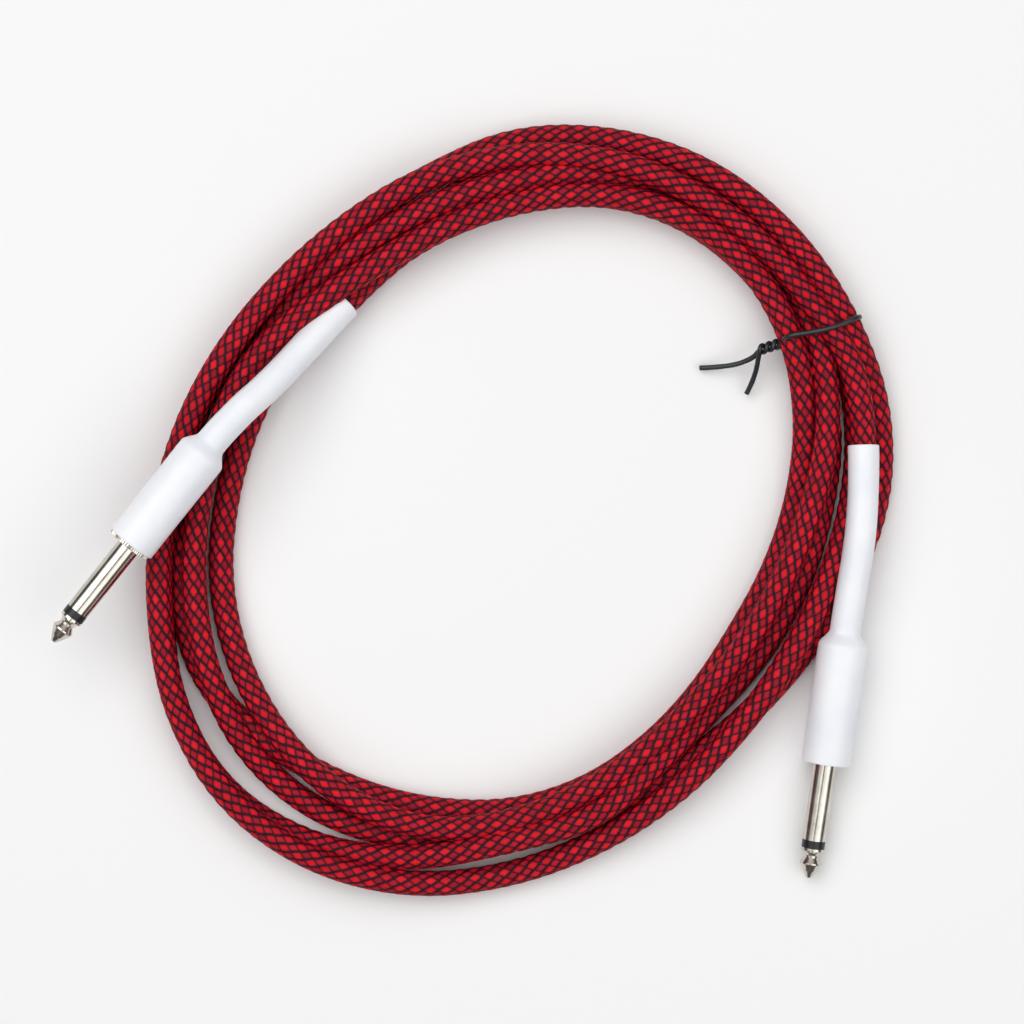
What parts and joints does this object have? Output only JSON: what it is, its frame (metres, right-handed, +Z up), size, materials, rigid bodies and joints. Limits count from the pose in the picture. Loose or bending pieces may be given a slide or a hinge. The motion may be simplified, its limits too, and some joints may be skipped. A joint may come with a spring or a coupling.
{
  "type": "instrument cable",
  "caption": "Loosely coiled instrument cable in a red and black braided jacket, with a straight plug under white heat-shrink tube at each end and a black wire twist tie round the coil.",
  "frame": {"origin": "middle of the whole object's outline seen from above, on the surface that the coil lies on", "axes": "+Z up; +X to the right and +Y away from the viewer's feet as the coil is seen from above, with plug a at the left and plug b at the lower right"},
  "size_m": [0.2261, 0.2094, 0.0284],
  "materials": {
    "braid": "woven red and black yarn, matt with a slight sheen",
    "shrink_plastic": "white heat-shrink tube, satin",
    "plug_nickel": "bright nickel plate, turned",
    "barrel_metal": "nickel plate",
    "ring_plastic": "black moulded plastic, satin",
    "clear_insulator": "natural nylon",
    "lug_metal": "tinned brass",
    "liner_plastic": "translucent plastic tube",
    "copper": "bare copper",
    "dielectric_plastic": "natural polyethylene",
    "jacket_plastic": "black flexible plastic",
    "solder": "solidified solder",
    "tie_plastic": "black plastic cover",
    "tie_steel": "bare steel wire"
  },
  "bodies": {
    "root": {"plug_a_tip_contact": "plug_nickel", "plug_a_tip_ring": "ring_plastic", "plug_a_rod_insulator": "clear_insulator", "plug_a_sleeve": "plug_nickel", "plug_a_rear_washer": "ring_plastic", "plug_a_tip_lug": "lug_metal", "plug_a_ground_lug": "lug_metal", "plug_a_barrel": "barrel_metal", "plug_a_liner": "liner_plastic", "plug_a_cable_core": "copper", "plug_a_cable_dielectric": "dielectric_plastic", "plug_a_cable_inner_jacket": "jacket_plastic", "plug_a_shield_tail": "copper", "plug_a_tip_solder": "solder", "plug_a_ground_solder": "solder", "plug_a_heat_shrink": "shrink_plastic", "plug_b_tip_contact": "plug_nickel", "plug_b_tip_ring": "ring_plastic", "plug_b_rod_insulator": "clear_insulator", "plug_b_sleeve": "plug_nickel", "plug_b_rear_washer": "ring_plastic", "plug_b_tip_lug": "lug_metal", "plug_b_ground_lug": "lug_metal", "plug_b_barrel": "barrel_metal", "plug_b_liner": "liner_plastic", "plug_b_cable_core": "copper", "plug_b_cable_dielectric": "dielectric_plastic", "plug_b_cable_inner_jacket": "jacket_plastic", "plug_b_shield_tail": "copper", "plug_b_tip_solder": "solder", "plug_b_ground_solder": "solder", "plug_b_heat_shrink": "shrink_plastic", "cable_lead_a": "braid", "cable_lead_b": "braid", "cable_coil": "braid", "tie_cover": "tie_plastic", "tie_wire": "tie_steel"}
  },
  "joints": []
}
